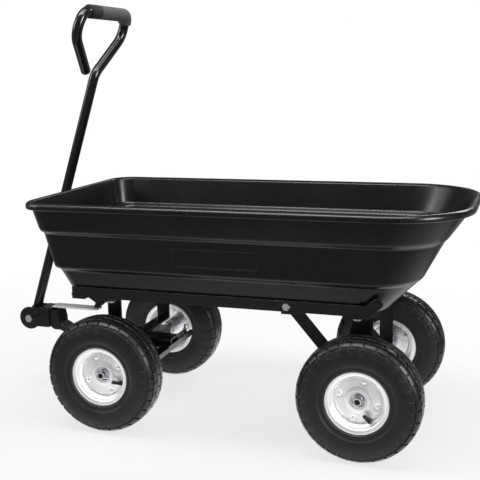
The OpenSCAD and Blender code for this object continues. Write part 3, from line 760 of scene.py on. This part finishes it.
COATED = (
    "tub_straps", "tub_hinge_bar", "rail_left", "rail_right", "front_tie", "front_cross", "rear_cross",
    "front_leg_left", "front_leg_right", "pivot_plate", "rear_leg_left", "rear_leg_right", "gusset_left",
    "gusset_right", "brace_left", "brace_right", "rear_axle_beam", "hinge_ears", "latch_bracket",
    "release_arm", "hinge_pins", "latch_pin", "kingpin", "front_axle_beam", "steering_plate",
    "steering_crossbar", "tongue", "tongue_head", "yoke")
PLATED = ("tub_bolts", "striker", "rear_axle_shaft", "frame_bolts", "front_axle_shaft", "steering_bolts",
          "yoke_pin")


def build_frame():
    for n in COATED:
        paint(refine(n, 0.0009), COAT)
    for n in PLATED:
        paint(refine(n, 0.0004), ZINC)
    paint(refine("release_pedal", 0.0006), PEDAL)


# ---------- studio ----------

def paper(nt, co, sh):
    """Floor shading: nearly even white to the camera, and bright only near the cart in reflections."""
    near = nt.nodes.new("ShaderNodeMapping")
    near.inputs["Scale"].default_value = (0.6, 1.0, 1.0)
    nt.links.new(co, near.inputs["Vector"])
    far = nt.nodes.new("ShaderNodeVectorMath")
    far.operation = "LENGTH"
    nt.links.new(near.outputs["Vector"], far.inputs[0])
    glow = nt.nodes.new("ShaderNodeEmission")
    seen = nt.nodes.new("ShaderNodeMixShader")
    nt.links.new(ranged(nt, far.outputs["Value"], 0.76, 1, 0.4, 1.3), seen.inputs["Fac"])
    nt.links.new(sh.outputs["BSDF"], seen.inputs[1])
    nt.links.new(glow.outputs["Emission"], seen.inputs[2])
    bounce = nt.nodes.new("ShaderNodeEmission")
    # bright close by, dim a little further out, then grey
    both = nt.nodes.new("ShaderNodeMath")
    nt.links.new(ranged(nt, far.outputs["Value"], 1.5, 0.06, 0.4, 0.75), both.inputs[0])
    nt.links.new(ranged(nt, far.outputs["Value"], 0, 0.3, 0.75, 1.05), both.inputs[1])
    nt.links.new(both.outputs["Value"], bounce.inputs["Strength"])
    return by_ray(nt, bounce.outputs["Emission"], seen.outputs["Shader"])


def by_ray(nt, other, direct):
    """One shader for what the camera sees directly, another for light and reflections."""
    pick = nt.nodes.new("ShaderNodeMixShader")
    nt.links.new(nt.nodes.new("ShaderNodeLightPath").outputs["Is Camera Ray"], pick.inputs["Fac"])
    nt.links.new(other, pick.inputs[1])
    nt.links.new(direct, pick.inputs[2])
    return pick.outputs["Shader"]


# name, place, aim, size, power, whether it lights as well as reflects
SOFT_BOXES = (
    ("overhead", (0.1, -0.35, 2.6), (0.05, 0.0, 0.3), (2.4, 0.7), 42, True),
    ("back", (0.9, 2.3, 1.9), (0.1, 0.0, 0.45), (1.6, 0.5), 26, True),
    ("front_end", (-2.4, -0.5, 1.5), (-0.2, 0.0, 0.4), (0.5, 1.4), 14, True),
    ("rear_end", (2.3, -0.9, 1.2), (0.4, 0.0, 0.3), (0.6, 1.4), 14, True),
    ("strip_front", (0.0, -0.95, 2.3), (0.0, -0.1, 0.4), (2.6, 0.45), 75, False),
    ("strip_rear", (2.6, -1.3, 1.1), (-0.2, 0.1, 0.45), (0.9, 1.2), 90, False),
    ("strip_end", (-2.2, -1.4, 1.6), (-0.2, 0.0, 0.3), (0.4, 1.2), 30, False),
)


def soft_box(name, where, aim, size, power, diffuse):
    data = bpy.data.lights.new(name, "AREA")
    data.shape = "RECTANGLE"
    data.size, data.size_y = size
    data.energy = power
    lamp = bpy.data.objects.new(name, data)
    bpy.context.scene.collection.objects.link(lamp)
    lamp.location = where
    lamp.rotation_euler = (Vector(aim) - Vector(where)).to_track_quat("-Z", "Y").to_euler()
    lamp.visible_diffuse = diffuse
    lamp.visible_camera = False


def build_studio():
    """White paper and a dim room, with soft boxes overhead, behind and at both ends."""
    r, n = 14.0, 96
    turns = [2*math.pi*k/n for k in range(n)]
    me = bpy.data.meshes.new("floor")
    me.from_pydata([(r*math.cos(t), r*math.sin(t), 0) for t in turns], [], [tuple(range(n))])
    o = bpy.data.objects.new("floor", me)
    bpy.context.scene.collection.objects.link(o)
    m, nt, sh, co = base_material("floor_paper", (0.9, 0.9, 0.9), 0.8, spec=0.1)
    nt.links.new(paper(nt, co, sh), nt.nodes["Material Output"].inputs["Surface"])
    me.materials.append(m)
    world = bpy.data.worlds.new("studio")
    bpy.context.scene.world = world
    world.use_nodes = True
    wt = world.node_tree
    seen = wt.nodes["Background"]
    seen.inputs["Color"].default_value = (1, 1, 1, 1)
    room = wt.nodes.new("ShaderNodeBackground")
    room.inputs["Color"].default_value = (1, 1, 1, 1)
    room.inputs["Strength"].default_value = 0.16
    wt.links.new(by_ray(wt, room.outputs["Background"], seen.outputs["Background"]),
                 wt.nodes["World Output"].inputs["Surface"])
    for lamp in SOFT_BOXES:
        soft_box(*lamp)
    bpy.context.scene.view_settings.view_transform = "Standard"


# azimuth, elevation and roll in degrees, place in metres, lens on a 36 mm sensor
CAMERA_TURN = (18.9, 11.0, -1.1)
CAMERA_AT = (0.6466, -1.8135, 0.7688)
CAMERA_LENS = 65.75


def build_camera():
    """The photograph's viewing angle."""
    az, el, roll = (math.radians(v) for v in CAMERA_TURN)
    back = Vector((math.sin(az)*math.cos(el), -math.cos(az)*math.cos(el), math.sin(el)))
    right = Vector((math.cos(az), math.sin(az), 0))
    up = back.cross(right)
    r = math.cos(roll)*right + math.sin(roll)*up
    u = -math.sin(roll)*right + math.cos(roll)*up
    data = bpy.data.cameras.new("camera")
    data.sensor_width = 36
    data.lens = CAMERA_LENS
    data.clip_end = 60
    cam = bpy.data.objects.new("camera", data)
    bpy.context.scene.collection.objects.link(cam)
    m = Matrix((r, u, back)).transposed().to_4x4()
    m.translation = Vector(CAMERA_AT)
    cam.matrix_world = m
    bpy.context.scene.camera = cam


build_camera()
build_studio()
build_tub()
build_wheels()
build_handle()
build_frame()
